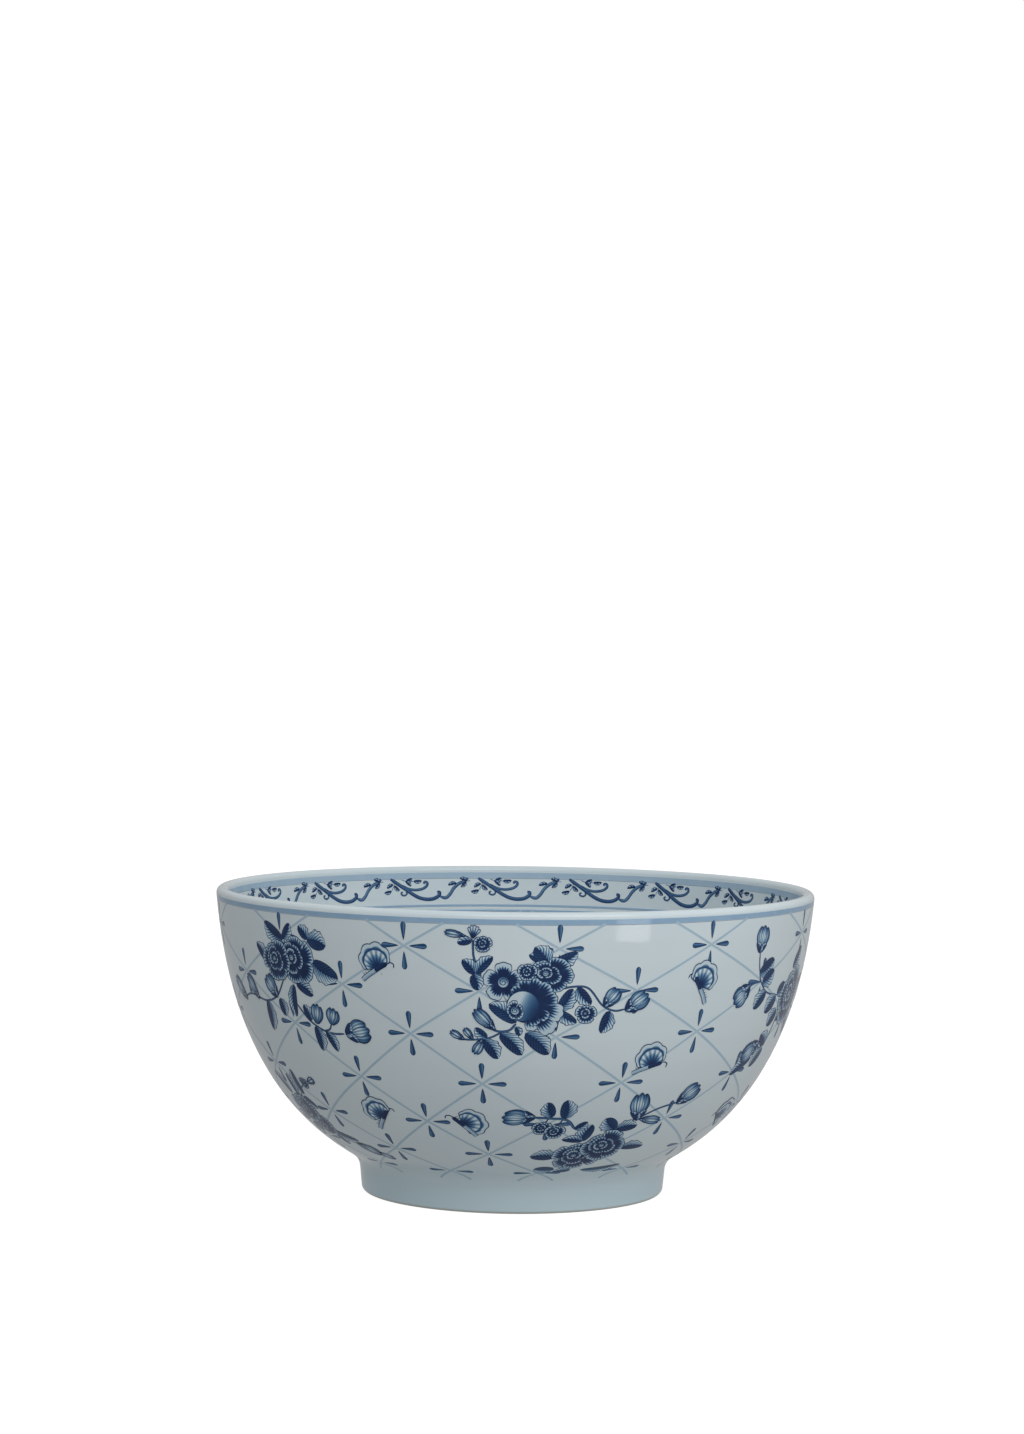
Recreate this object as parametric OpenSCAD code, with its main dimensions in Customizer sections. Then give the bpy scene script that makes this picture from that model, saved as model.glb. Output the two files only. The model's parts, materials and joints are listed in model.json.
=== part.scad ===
// Round porcelain serving bowl on a foot ring, in millimetres.
// The origin is the middle of the foot on the table and +Z points up.
// Every part is one outline spun about Z. The clay outlines come first, and each glaze coat
// is the same outline grown by the coat's thickness, so the coats lie face to face on the clay.

/* [Bowl] */
// Outside diameter across the lip
rim_d = 300; // [260:5:330]
// Height from the table to the top of the lip
bowl_h = 152; // [140:1:170]
// Thickness of the rounded lip
lip_t = 6; // [5:0.2:7]
// How far the wall leans outwards at the lip, in degrees
rim_lean = 5.2; // [3:0.2:8]
// How far the wall leans outwards just above the foot, in degrees
belly_lean = 51.8; // [46:0.2:56]
// Height of the inside of the floor above the table
floor_z = 18; // [17:0.5:20]
// Radius of the flat middle of the floor
floor_flat_r = 50; // [42:1:56]

/* [Foot ring] */
// Outside diameter of the foot ring at its top
foot_d = 152.7; // [140:1:165]
// Height of the foot ring up to the bottom of the bowl
foot_h = 11; // [10:0.5:12]
// How far the outside of the ring leans inwards towards the table, in degrees
foot_taper = 5.5; // [3:0.5:7]
// Thickness of the ring where it joins the bowl
foot_wall = 9; // [7:0.5:10]
// Radius of the hollow curve between ring and bowl
foot_fillet_r = 11.4; // [9:0.2:13]

/* [Glaze] */
// Thickness of each glaze coat
glaze_t = 0.35; // [0.25:0.05:0.5]
// Depth of the cobalt bands in the glaze
band_t = 0.15; // [0.1:0.05:0.2]
// Width of the blue bands next to the lip
rim_band_w = 3; // [2:0.25:4]
// Width of each thin line under the inside border
border_line_w = 0.8; // [0.5:0.1:1.2]

/* [Hidden] */
$fn = 144;
clay_rim_r = rim_d / 2 - glaze_t;
clay_lip_r = lip_t / 2 - glaze_t;
lip_r_mid = clay_rim_r - clay_lip_r;
lip_z_mid = bowl_h - glaze_t - clay_lip_r;
foot_r = foot_d / 2;
foot_edge_r = 2;
foot_bottom_r = foot_r - (foot_h - foot_edge_r) * tan(foot_taper);
contact_w = 3;
// Where the bands lie, measured along the glaze from the crest of the lip
outer_band_s = 4.4;
inner_band_s = 5.1;
border_line_s = [22.6, 25.5];

// A point and its outward direction, kept together as [r, z, nr, nz]
function on_arc(cr, cz, radius, a) = [cr + radius * cos(a), cz + radius * sin(a), cos(a), sin(a)];
function bezier_at(p, t) =
    pow(1 - t, 3) * p[0] + 3 * pow(1 - t, 2) * t * p[1] + 3 * (1 - t) * t * t * p[2] + pow(t, 3) * p[3];
function bezier_way(p, t) =
    pow(1 - t, 2) * (p[1] - p[0]) + 2 * (1 - t) * t * (p[2] - p[1]) + t * t * (p[3] - p[2]);
// side is 1 where the outward direction is to the right of the way the curve runs
function on_bezier(p, t, side) =
    let (q = bezier_at(p, t), w = bezier_way(p, t), n = norm(w))
    [q[0], q[1], side * w[1] / n, -side * w[0] / n];

// The outside of the clay from the foot's corner up to the crest of the lip
fillet_mid = [foot_r + foot_fillet_r * cos(foot_taper), foot_h - foot_fillet_r * sin(foot_taper)];
belly_low = fillet_mid + foot_fillet_r * [-cos(belly_lean), sin(belly_lean)];
belly_high = [lip_r_mid + clay_lip_r * cos(rim_lean), lip_z_mid - clay_lip_r * sin(rim_lean)];
belly = [
    belly_low,
    belly_low + 0.066 * bowl_h * [sin(belly_lean), cos(belly_lean)],
    belly_high - 0.67 * bowl_h * [sin(rim_lean), cos(rim_lean)],
    belly_high
];
foot_corner = [foot_bottom_r - foot_edge_r * cos(foot_taper), foot_edge_r];
foot_outside = [
    for (a = [-50:15:-20]) on_arc(foot_corner[0], foot_corner[1], foot_edge_r, a),
    on_arc(foot_corner[0], foot_corner[1], foot_edge_r, -foot_taper)
];
wall_outside = concat(
    [for (i = [0:6])
        let (a = foot_taper + (belly_lean - foot_taper) * i / 6)
        [fillet_mid[0] - foot_fillet_r * cos(a), fillet_mid[1] + foot_fillet_r * sin(a), cos(a), -sin(a)]],
    [for (i = [1:26]) on_bezier(belly, i / 26, 1)],
    [for (i = [1:6]) on_arc(lip_r_mid, lip_z_mid, clay_lip_r, -rim_lean + (90 + rim_lean) * i / 6)]
);

// The inside of the clay from the crest of the lip down to the middle of the floor
inside_high = [lip_r_mid - clay_lip_r * cos(rim_lean), lip_z_mid + clay_lip_r * sin(rim_lean)];
clay_floor_z = floor_z - glaze_t;
inside = [
    inside_high,
    inside_high - 0.667 * bowl_h * [sin(rim_lean), cos(rim_lean)],
    [floor_flat_r + 0.2 * rim_d / 2, clay_floor_z],
    [floor_flat_r, clay_floor_z]
];
wall_inside = concat(
    [for (i = [0:6]) on_arc(lip_r_mid, lip_z_mid, clay_lip_r, 90 + (90 - rim_lean) * i / 6)],
    [for (i = [1:28]) on_bezier(inside, i / 28, 1)],
    [[0, clay_floor_z, 0, 1]]
);

// The well under the bowl
well_r = foot_r - foot_wall;
contact_out_r = foot_corner[0] + foot_edge_r * cos(50);
contact_in_r = foot_corner[0] - contact_w;
contact_edge = 0.8;
well_curve_r = 2.2;

// Clay outline and grown outline of a list of points
function clay(list) = [for (p = list) [p[0], p[1]]];
function grown(list, g) = [for (p = list) [p[0] + g * p[2], p[1] + g * p[3]]];
function backwards(list) = [for (i = [len(list) - 1:-1:0]) list[i]];

// Arc length along the grown outline up to each of its points
function steps(points) = [for (i = [1:len(points) - 1]) norm(points[i] - points[i - 1])];
function sum_to(values, n) = n < 0 ? 0 : values[n] + sum_to(values, n - 1);
function lengths(points) = let (d = steps(points)) [for (i = [0:len(points) - 1]) sum_to(d, i - 1)];
function column(s, list, k) = [for (i = [0:len(list) - 1]) [s[i], list[i][k]]];
// The point at arc length s, pushed back into the glaze by depth
function along(s_list, list, s, depth) =
    let (
        r = lookup(s, column(s_list, list, 0)),
        z = lookup(s, column(s_list, list, 1)),
        nr = lookup(s, column(s_list, list, 2)),
        nz = lookup(s, column(s_list, list, 3))
    )
    [r + (glaze_t - depth) * nr, z + (glaze_t - depth) * nz];

// A coat's outline: its face, stepped back by band_t under each band, and the clay behind it
function between(s_list, a, b) = [for (s = s_list) if (s > a + 0.01 && s < b - 0.01) s];
function stretch(s_list, list, a, b, depth) =
    [for (s = concat([a], between(s_list, a, b), [b])) along(s_list, list, s, depth)];
function coat_face(s_list, list, bands, i = 0, from = 0) =
    i >= len(bands)
        ? stretch(s_list, list, from, s_list[len(s_list) - 1], 0)
        : concat(
            stretch(s_list, list, from, bands[i][0], 0),
            stretch(s_list, list, bands[i][0], bands[i][1], band_t),
            coat_face(s_list, list, bands, i + 1, bands[i][1])
        );
function band_outline(s_list, list, band) = concat(
    stretch(s_list, list, band[0], band[1], 0),
    backwards(stretch(s_list, list, band[0], band[1], band_t))
);

outer_path = concat(backwards(wall_outside), backwards(foot_outside));
outer_s = lengths(grown(outer_path, glaze_t));
inner_s = lengths(grown(wall_inside, glaze_t));
outer_bands = [[outer_band_s, outer_band_s + rim_band_w]];
inner_rim_band = [inner_band_s, inner_band_s + rim_band_w];
border_lines = [for (s = border_line_s) [s, s + border_line_w]];
inner_bands = concat([inner_rim_band], border_lines);

// Thrown wall and floor of the bowl, before glazing
module bowl_body() {
    color([0.90, 0.89, 0.86])
        rotate_extrude()
            polygon(concat(
                [[0, foot_h]],
                clay(wall_outside),
                [for (i = [1:len(wall_inside) - 1]) clay(wall_inside)[i]]
            ));
}

// Turned ring that the bowl stands on, with a bare strip where it meets the table
module foot_ring() {
    color([0.82, 0.79, 0.73])
        rotate_extrude()
            polygon(concat(
                [[contact_out_r, 0]],
                clay(foot_outside),
                [[foot_r, foot_h], [well_r, foot_h]],
                [[contact_in_r - contact_edge, contact_edge], [contact_in_r, 0]]
            ));
}

// Coat from the crest of the lip down the outside to the foot's edge
module outer_glaze() {
    color([0.74, 0.80, 0.85])
        rotate_extrude()
            polygon(concat(
                coat_face(outer_s, outer_path, outer_bands),
                backwards(clay(outer_path))
            ));
}

// Coat from the crest of the lip down the inside and over the floor
module inner_glaze() {
    color([0.70, 0.77, 0.83])
        rotate_extrude()
            polygon(concat(
                coat_face(inner_s, wall_inside, inner_bands),
                backwards(clay(wall_inside))
            ));
}

// Coat inside the foot ring, pooled in the corner where ring and bowl meet
module well_glaze() {
    top_z = foot_h - glaze_t;
    in_r = well_r - glaze_t;
    color([0.68, 0.74, 0.78])
        rotate_extrude()
            polygon(concat(
                [[0, foot_h], [well_r, foot_h], [contact_in_r - contact_edge, contact_edge]],
                [[contact_in_r - contact_edge - glaze_t, contact_edge + 0.1]],
                [for (a = [0:15:90])
                    [in_r - well_curve_r + well_curve_r * cos(a), top_z - well_curve_r + well_curve_r * sin(a)]],
                [[0, top_z]]
            ));
}

module band(s_list, list, ends) {
    color([0.36, 0.50, 0.68])
        rotate_extrude()
            polygon(band_outline(s_list, list, ends));
}

// Cobalt bands fired flush into the glaze
module rim_band_outer() {
    band(outer_s, outer_path, outer_bands[0]);
}

module rim_band_inner() {
    band(inner_s, wall_inside, inner_rim_band);
}

module border_line_upper() {
    band(inner_s, wall_inside, border_lines[0]);
}

module border_line_lower() {
    band(inner_s, wall_inside, border_lines[1]);
}

bowl_body();
foot_ring();
outer_glaze();
inner_glaze();
well_glaze();
rim_band_outer();
rim_band_inner();
border_line_upper();
border_line_lower();
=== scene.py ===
import json
import math

import bpy
import numpy as np
from mathutils import Matrix, Vector

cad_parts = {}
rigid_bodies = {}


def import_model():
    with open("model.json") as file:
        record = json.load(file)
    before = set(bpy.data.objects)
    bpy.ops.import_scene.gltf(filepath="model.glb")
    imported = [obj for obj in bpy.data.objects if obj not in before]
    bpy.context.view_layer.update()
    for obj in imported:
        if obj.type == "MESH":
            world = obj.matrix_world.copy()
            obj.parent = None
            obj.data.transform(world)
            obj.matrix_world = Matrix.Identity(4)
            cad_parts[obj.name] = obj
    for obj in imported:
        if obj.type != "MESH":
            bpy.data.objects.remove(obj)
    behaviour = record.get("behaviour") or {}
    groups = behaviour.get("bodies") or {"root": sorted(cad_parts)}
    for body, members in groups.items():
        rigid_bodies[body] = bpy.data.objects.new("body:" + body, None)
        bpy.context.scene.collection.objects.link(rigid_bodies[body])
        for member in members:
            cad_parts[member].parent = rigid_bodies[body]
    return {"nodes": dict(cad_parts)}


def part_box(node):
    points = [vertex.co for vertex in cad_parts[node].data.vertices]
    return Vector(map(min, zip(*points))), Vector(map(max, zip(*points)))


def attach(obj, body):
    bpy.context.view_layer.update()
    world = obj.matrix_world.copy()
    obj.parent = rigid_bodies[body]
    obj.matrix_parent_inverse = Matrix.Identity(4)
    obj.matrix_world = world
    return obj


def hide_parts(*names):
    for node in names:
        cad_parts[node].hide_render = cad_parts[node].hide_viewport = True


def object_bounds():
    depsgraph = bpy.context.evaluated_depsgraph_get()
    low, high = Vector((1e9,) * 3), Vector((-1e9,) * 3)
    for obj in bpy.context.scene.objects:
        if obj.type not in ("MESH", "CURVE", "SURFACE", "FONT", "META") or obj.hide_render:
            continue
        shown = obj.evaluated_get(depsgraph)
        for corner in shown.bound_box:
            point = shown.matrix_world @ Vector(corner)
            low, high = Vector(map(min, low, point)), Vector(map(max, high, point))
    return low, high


for leftover in list(bpy.data.objects):
    bpy.data.objects.remove(leftover)
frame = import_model()
cad_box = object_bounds()

# Lengths in this script are millimetres and angles degrees, until a mesh is made.
M = 0.001

# ---- The bowl's outline, from the boxes of the CAD parts ----
# Thickness of a glaze coat, and depth of the bands in it
GLAZE_T = 0.35
BAND_T = 0.15
RIM_R, BOWL_H = cad_box[1].x / M, cad_box[1].z / M
FOOT_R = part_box("foot_ring")[1].x / M
FOOT_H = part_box("foot_ring")[1].z / M
FLOOR_CLAY_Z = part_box("inner_glaze")[0].z / M
WELL_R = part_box("well_glaze")[1].x / M
# Of the clay: the lip's radius, the leans off vertical, and the curves at the foot
LIP_R = 3 - GLAZE_T
RIM_LEAN = math.radians(5.2)
BELLY_LEAN = math.radians(51.8)
FOOT_TAPER = math.radians(5.5)
FILLET_R = 11.4
FOOT_EDGE_R = 2
FLOOR_FLAT_R = 50

# How far the handles of the two long curves reach, at their upper and lower ends
BELLY_HANDLES = (0.67 * BOWL_H, 0.066 * BOWL_H)
HOLLOW_HANDLES = (0.667 * BOWL_H, 30)

SEGMENTS = 288
# Where the bands and lines begin and end, along the outline from the crest of the lip
OUTER_BAND = (5.0, 7.3)
INNER_BAND = (5.1, 8.1)
BORDER_LINES = ((22.6, 23.4), (25.5, 26.3))


def bezier(p, count):
    t = np.linspace(0, 1, count)[:, None]
    return (1 - t) ** 3 * p[0] + 3 * (1 - t) ** 2 * t * p[1] + 3 * (1 - t) * t * t * p[2] + t ** 3 * p[3]


def arc(centre, radius, a, b, count):
    t = np.linspace(a, b, count)
    return np.stack([centre[0] + radius * np.cos(t), centre[1] + radius * np.sin(t)], 1)


class Face:
    """One glazed face of the bowl, measured along its outline from the crest of the lip."""

    def __init__(self, clay, turn):
        step = np.gradient(clay, axis=0)
        step /= np.linalg.norm(step, axis=1)[:, None]
        self.normal = turn * np.stack([-step[:, 1], step[:, 0]], 1)
        self.line = clay + GLAZE_T * self.normal
        lengths = np.linalg.norm(np.diff(self.line, axis=0), axis=1)
        self.s = np.concatenate([[0], np.cumsum(lengths)])

    def ring(self, s, lift):
        """Radius and height of the points at arc length s, lifted off the glaze."""
        r, z = (np.interp(s, self.s, self.line[:, k]) for k in (0, 1))
        nr, nz = (np.interp(s, self.s, self.normal[:, k]) for k in (0, 1))
        return r + lift * nr, z + lift * nz

    def at(self, angle, s, lift):
        r, z = self.ring(s, lift)
        a = np.radians(angle)
        return np.stack([r * np.cos(a), r * np.sin(a), z], -1)


def outlines():
    """Clay outlines from the crest of the lip: down the outside, and down the inside."""
    lip = np.array([RIM_R - GLAZE_T - LIP_R, BOWL_H - GLAZE_T - LIP_R])
    wall = np.array([math.sin(RIM_LEAN), math.cos(RIM_LEAN)])
    across = LIP_R * np.array([math.cos(RIM_LEAN), -math.sin(RIM_LEAN)])
    belly = np.array([math.sin(BELLY_LEAN), math.cos(BELLY_LEAN)])
    fillet = np.array([FOOT_R + FILLET_R * math.cos(FOOT_TAPER), FOOT_H - FILLET_R * math.sin(FOOT_TAPER)])
    high = lip + across
    low = fillet + FILLET_R * np.array([-math.cos(BELLY_LEAN), math.sin(BELLY_LEAN)])
    edge_r = FOOT_R - (FOOT_H - FOOT_EDGE_R) * math.tan(FOOT_TAPER) - FOOT_EDGE_R * math.cos(FOOT_TAPER)
    outside = np.concatenate([
        arc(lip, LIP_R, math.pi / 2, -RIM_LEAN, 24),
        bezier((high, high - BELLY_HANDLES[0] * wall, low + BELLY_HANDLES[1] * belly, low), 240)[1:],
        arc(fillet, FILLET_R, math.pi - BELLY_LEAN, math.pi - FOOT_TAPER, 24)[1:],
        arc((edge_r, FOOT_EDGE_R), FOOT_EDGE_R, -FOOT_TAPER, -math.radians(50), 8),
    ])
    top = lip - across
    flat = np.array([FLOOR_FLAT_R, FLOOR_CLAY_Z])
    hollow = (top, top - HOLLOW_HANDLES[0] * wall, flat + (HOLLOW_HANDLES[1], 0), flat)
    inside = np.concatenate([
        arc(lip, LIP_R, math.pi / 2, math.pi - RIM_LEAN, 24),
        bezier(hollow, 260)[1:],
        np.stack([np.linspace(FLOOR_FLAT_R, 0, 12)[1:], np.full(11, FLOOR_CLAY_Z)], 1),
    ])
    return Face(outside, 1), Face(inside, -1)


OUTSIDE, INSIDE = outlines()

# ---- Materials ----
PORCELAIN = (0.60, 0.685, 0.715, 1)
POOLED_GLAZE = (0.52, 0.66, 0.71, 1)
SANDY_EDGE = (0.40, 0.39, 0.34, 1)
IRON_SPECK = (0.20, 0.21, 0.20, 1)
# What one full coat of cobalt lets through, for red, green and blue
COBALT_PASS = (0.004, 0.026, 0.105)
# The same for the thinner wash of the bands, which is greener
WASH_PASS = (0.010, 0.050, 0.223)


def set_inputs(node, values):
    for name, value in values.items():
        node.inputs[name].default_value = value


class Nodes:
    """Short calls for building a node tree."""

    def __init__(self, tree):
        self.tree = tree

    def add(self, kind, **settings):
        node = self.tree.nodes.new("ShaderNode" + kind)
        for name, value in settings.items():
            setattr(node, name, value)
        return node

    def link(self, a, b):
        self.tree.links.new(a, b)

    def put(self, socket, value):
        if isinstance(value, bpy.types.NodeSocket):
            self.link(value, socket)
        else:
            socket.default_value = value

    def math(self, operation, a, b=0.0):
        node = self.add("Math", operation=operation)
        self.put(node.inputs[0], a)
        self.put(node.inputs[1], b)
        return node.outputs[0]

    def remap(self, value, a, b, c, d, smooth=False):
        kind = "SMOOTHSTEP" if smooth else "LINEAR"
        node = self.add("MapRange", interpolation_type=kind)
        for k, v in enumerate((value, a, b, c, d)):
            self.put(node.inputs[k], v)
        return node.outputs[0]

    def noise(self, where, scale, detail=2.0, roughness=0.5):
        node = self.add("TexNoise")
        self.link(where, node.inputs["Vector"])
        set_inputs(node, {"Scale": scale, "Detail": detail, "Roughness": roughness})
        return node.outputs[0]

    def grey(self, value):
        node = self.add("CombineColor")
        for k in range(3):
            self.put(node.inputs[k], value)
        return node.outputs[0]

    def bump(self, height, strength, distance):
        node = self.add("Bump")
        set_inputs(node, {"Strength": strength, "Distance": distance})
        self.link(height, node.inputs["Height"])
        return node.outputs[0]

    def mix(self, factor, a, b, blend="MIX"):
        node = self.add("Mix", data_type="RGBA", blend_type=blend)
        self.put(node.inputs[0], factor)
        self.put(node.inputs[6], a)
        self.put(node.inputs[7], b)
        return node.outputs[2]


def porcelain_group():
    """Colour, roughness and height of the clear blue-white glaze, the same wherever it is used."""
    tree = bpy.data.node_groups.new("porcelain_glaze", "ShaderNodeTree")
    for name, kind in (("Color", "Color"), ("Roughness", "Float"), ("Height", "Float")):
        tree.interface.new_socket(name, in_out="OUTPUT", socket_type="NodeSocket" + kind)
    n = Nodes(tree)
    out = tree.nodes.new("NodeGroupOutput")
    where = n.add("TexCoord").outputs["Object"]
    xyz = n.add("SeparateXYZ")
    n.link(where, xyz.inputs[0])
    clouds = n.remap(n.noise(where, 14, 3), 0.3, 0.7, 0.0, 1.0)
    tint = n.mix(clouds, (0.965, 0.975, 0.985, 1), (1.02, 1.015, 1.01, 1))
    colour = n.mix(1.0, PORCELAIN, tint, "MULTIPLY")
    # The glaze runs down and pools, a little greener, in the hollow above the foot
    pool = n.remap(xyz.outputs["Z"], 0.004, 0.030, 1.0, 0.0, True)
    colour = n.mix(pool, colour, POOLED_GLAZE)
    # It thins to the sandy clay at the edge of the foot
    thin = n.remap(xyz.outputs["Z"], 0.0005, 0.0016, 0.75, 0.0, True)
    colour = n.mix(thin, colour, SANDY_EDGE)
    # Fine iron specks
    cells = n.add("TexVoronoi")
    n.link(where, cells.inputs["Vector"])
    set_inputs(cells, {"Scale": 95})
    near = n.remap(cells.outputs["Distance"], 0.020, 0.055, 1.0, 0.0, True)
    rare = n.math("GREATER_THAN", n.noise(where, 37, 1), 0.66)
    speck = n.math("MULTIPLY", n.math("MULTIPLY", near, rare), 0.55)
    colour = n.mix(speck, colour, IRON_SPECK)
    n.link(colour, out.inputs["Color"])
    rough = n.remap(n.noise(where, 60, 3), 0.3, 0.7, 0.055, 0.095)
    n.link(rough, out.inputs["Roughness"])
    # Slow ripples from the wheel under a finer orange-peel
    rings = n.add("TexWave", bands_direction="Z", wave_profile="SIN")
    n.link(where, rings.inputs["Vector"])
    set_inputs(rings, {"Scale": 26, "Distortion": 1.6, "Detail Scale": 0.6})
    slow = n.math("MULTIPLY", rings.outputs["Fac"], 0.30)
    broad = n.noise(where, 22, 1)
    fine = n.math("MULTIPLY", n.noise(where, 420, 2), 0.035)
    n.link(n.math("ADD", n.math("ADD", slow, broad), fine), out.inputs["Height"])
    return tree


def start_material(name):
    material = bpy.data.materials.new(name)
    material.use_nodes = True
    material.node_tree.nodes.clear()
    n = Nodes(material.node_tree)
    shader = n.add("BsdfPrincipled")
    out = n.add("OutputMaterial")
    n.link(shader.outputs[0], out.inputs[0])
    return material, n, shader


def glazed(name, group, deepen=(1, 1, 1, 1)):
    """Clear glaze over white porcelain."""
    material, n, shader = start_material(name)
    glaze = n.add("Group", node_tree=group)
    colour = n.mix(1.0, glaze.outputs["Color"], deepen, "MULTIPLY")
    finish_glaze(n, shader, glaze, colour)
    return material


def finish_glaze(n, shader, glaze, colour):
    n.link(colour, shader.inputs["Base Color"])
    n.link(glaze.outputs["Roughness"], shader.inputs["Roughness"])
    n.link(n.bump(glaze.outputs["Height"], 0.22, 0.0006), shader.inputs["Normal"])
    set_inputs(shader, {"IOR": 1.5, "Specular IOR Level": 0.28})


def printed(name, group, one_coat):
    """Cobalt under the same glaze. The mesh's ink is its tone, the phase of the engraved lines, the
    distance to its edge in millimetres, and the depth of the lines."""
    material, n, shader = start_material(name)
    glaze = n.add("Group", node_tree=group)
    where = n.add("TexCoord").outputs["Object"]
    ink = n.add("Attribute", attribute_name="ink")
    parts = n.add("SeparateColor")
    n.link(ink.outputs["Color"], parts.inputs[0])
    tone, phase, edge = (parts.outputs[k] for k in range(3))
    depth = ink.outputs["Alpha"]
    uneven = n.math("MULTIPLY", n.math("SUBTRACT", n.noise(where, 900, 2), 0.5), 0.30)
    wave = n.math("SINE", n.math("MULTIPLY", phase, 2 * math.pi))
    cut = n.math("MULTIPLY", wave, n.math("MULTIPLY", depth, 0.45))
    level = n.math("ADD", n.math("ADD", tone, cut), n.math("MULTIPLY", uneven, depth))
    body = n.remap(level, 0.0, 1.0, 0.0, 1.0)
    line = n.remap(n.math("ADD", edge, n.math("MULTIPLY", uneven, 0.2)), 0.28, 0.58, 1.0, 0.0, True)
    outlined = n.math("MAXIMUM", body, n.math("MULTIPLY", line, 0.90))
    # Where the edge distance is negative the drawing fades out instead of having an outline
    fade = n.remap(edge, -1.0, -0.55, 0.0, 1.0, True)
    plain = n.math("MULTIPLY", tone, fade)
    soft = n.math("LESS_THAN", edge, -0.001)
    amount = n.add("Mix", data_type="FLOAT")
    n.link(soft, amount.inputs[0])
    n.link(outlined, amount.inputs[2])
    n.link(plain, amount.inputs[3])
    patchy = n.remap(n.noise(where, 130, 2), 0.3, 0.7, 0.90, 1.06)
    strength = n.math("MULTIPLY", amount.outputs[0], patchy)
    passed = n.add("CombineColor")
    for k in range(3):
        n.link(n.math("POWER", one_coat[k], strength), passed.inputs[k])
    colour = n.mix(1.0, glaze.outputs["Color"], passed.outputs[0], "MULTIPLY")
    finish_glaze(n, shader, glaze, colour)
    return material


def unglazed(name, base, dark, scale):
    """Fired clay without glaze: fine grain, small pits and faint stains."""
    material, n, shader = start_material(name)
    where = n.add("TexCoord").outputs["Object"]
    grain = n.remap(n.noise(where, scale, 5, 0.6), 0.3, 0.7, 0.0, 1.0)
    colour = n.mix(grain, dark, base)
    stain = n.remap(n.noise(where, 40, 3), 0.45, 0.7, 0.0, 0.35)
    colour = n.mix(stain, colour, dark)
    n.link(colour, shader.inputs["Base Color"])
    n.link(n.remap(grain, 0.0, 1.0, 0.85, 0.65), shader.inputs["Roughness"])
    n.link(n.bump(grain, 0.5, 0.0002), shader.inputs["Normal"])
    return material


GLAZE = porcelain_group()
glaze_out, glaze_in = (glazed(f"glaze_{side}", GLAZE) for side in ("outside", "inside"))
glaze_under = glazed("glaze_underside", GLAZE, (0.93, 0.97, 0.98, 1))
cobalt_print = printed("cobalt_print", GLAZE, COBALT_PASS)
cobalt_bands = printed("cobalt_band", GLAZE, WASH_PASS)
biscuit = unglazed("biscuit_clay", (0.78, 0.76, 0.71, 1), (0.66, 0.63, 0.57, 1), 500)
bare_foot = unglazed("bare_foot_clay", (0.66, 0.62, 0.54, 1), (0.45, 0.40, 0.33, 1), 700)


# ---- Meshes ----
def make_piece(name, verts, faces, material, ink=None, replaces=()):
    """A smooth mesh from points in millimetres that rides on the bowl."""
    mesh = bpy.data.meshes.new(name)
    mesh.from_pydata((np.asarray(verts) * M).tolist(), [], faces)
    mesh.polygons.foreach_set("use_smooth", [True] * len(mesh.polygons))
    if ink is not None:
        attribute = mesh.attributes.new("ink", "FLOAT_COLOR", "POINT")
        attribute.data.foreach_set("color", np.asarray(ink, np.float32).ravel())
    mesh.materials.append(material)
    mesh.update()
    piece = bpy.data.objects.new(name, mesh)
    bpy.context.scene.collection.objects.link(piece)
    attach(piece, "root")
    if replaces:
        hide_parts(*replaces)
    return piece


def revolve(name, outline, material, ink=None, replaces=()):
    """A closed outline spun about the axis. A point on the axis becomes a pole."""
    verts, faces, inks, rows = [], [], [], []
    angles = np.radians(np.arange(SEGMENTS) * 360 / SEGMENTS)
    for k, (r, z) in enumerate(outline):
        count = 1 if r < 1e-6 else SEGMENTS
        rows.append((len(verts), count))
        turn = angles[:count]
        verts += np.stack([r * np.cos(turn), r * np.sin(turn), np.full(count, z)], 1).tolist()
        if ink is not None:
            inks += [ink[k]] * count
    for k in range(len(rows)):
        (a, na), (b, nb) = rows[k], rows[(k + 1) % len(rows)]
        if na == 1 and nb == 1:
            continue
        for i in range(SEGMENTS):
            j = (i + 1) % SEGMENTS
            if na == 1:
                faces.append((a, b + j, b + i))
            elif nb == 1:
                faces.append((a + i, a + j, b))
            else:
                faces.append((a + i, a + j, b + j, b + i))
    return make_piece(name, verts, faces, material, inks if ink is not None else None, replaces)


def coat(name, face, material, replaces):
    """A glaze coat over a whole face, as a closed shell."""
    s = face.s[::2] if face.s[::2][-1] == face.s[-1] else np.append(face.s[::2], face.s[-1])
    front, back = (np.stack(face.ring(s, lift), 1) for lift in (0, -GLAZE_T))
    for side in (front, back):
        side[np.abs(side[:, 0]) < 1e-4, 0] = 0
    return revolve(name, np.concatenate([front, back[::-1]]), material, None, replaces)


def band(name, face, ends, tone, replaces):
    """A blue line round the bowl, fired flush, with soft edges. The ink fades with a negative edge."""
    a, b = ends
    spread, core, proud, sunk = 0.35, 0.3, 0.02, 0.006
    solid, soft, gone = -0.4, -0.72, -1.0
    s = np.array([a - spread, a, a + core, (a + b) / 2, b - core, b, b + spread])
    fade = [gone, soft, solid, solid, solid, soft, gone]
    lift = np.array([sunk] + [proud] * 5 + [sunk])
    front = np.stack(face.ring(s, lift), 1)
    back = np.stack(face.ring(s[1:-1], -BAND_T), 1)[::-1]
    ink = [(tone, 0, f, 0) for f in fade + [solid] * len(back)]
    return revolve(name, np.concatenate([front, back]), cobalt_bands, ink, (replaces,))


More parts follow.
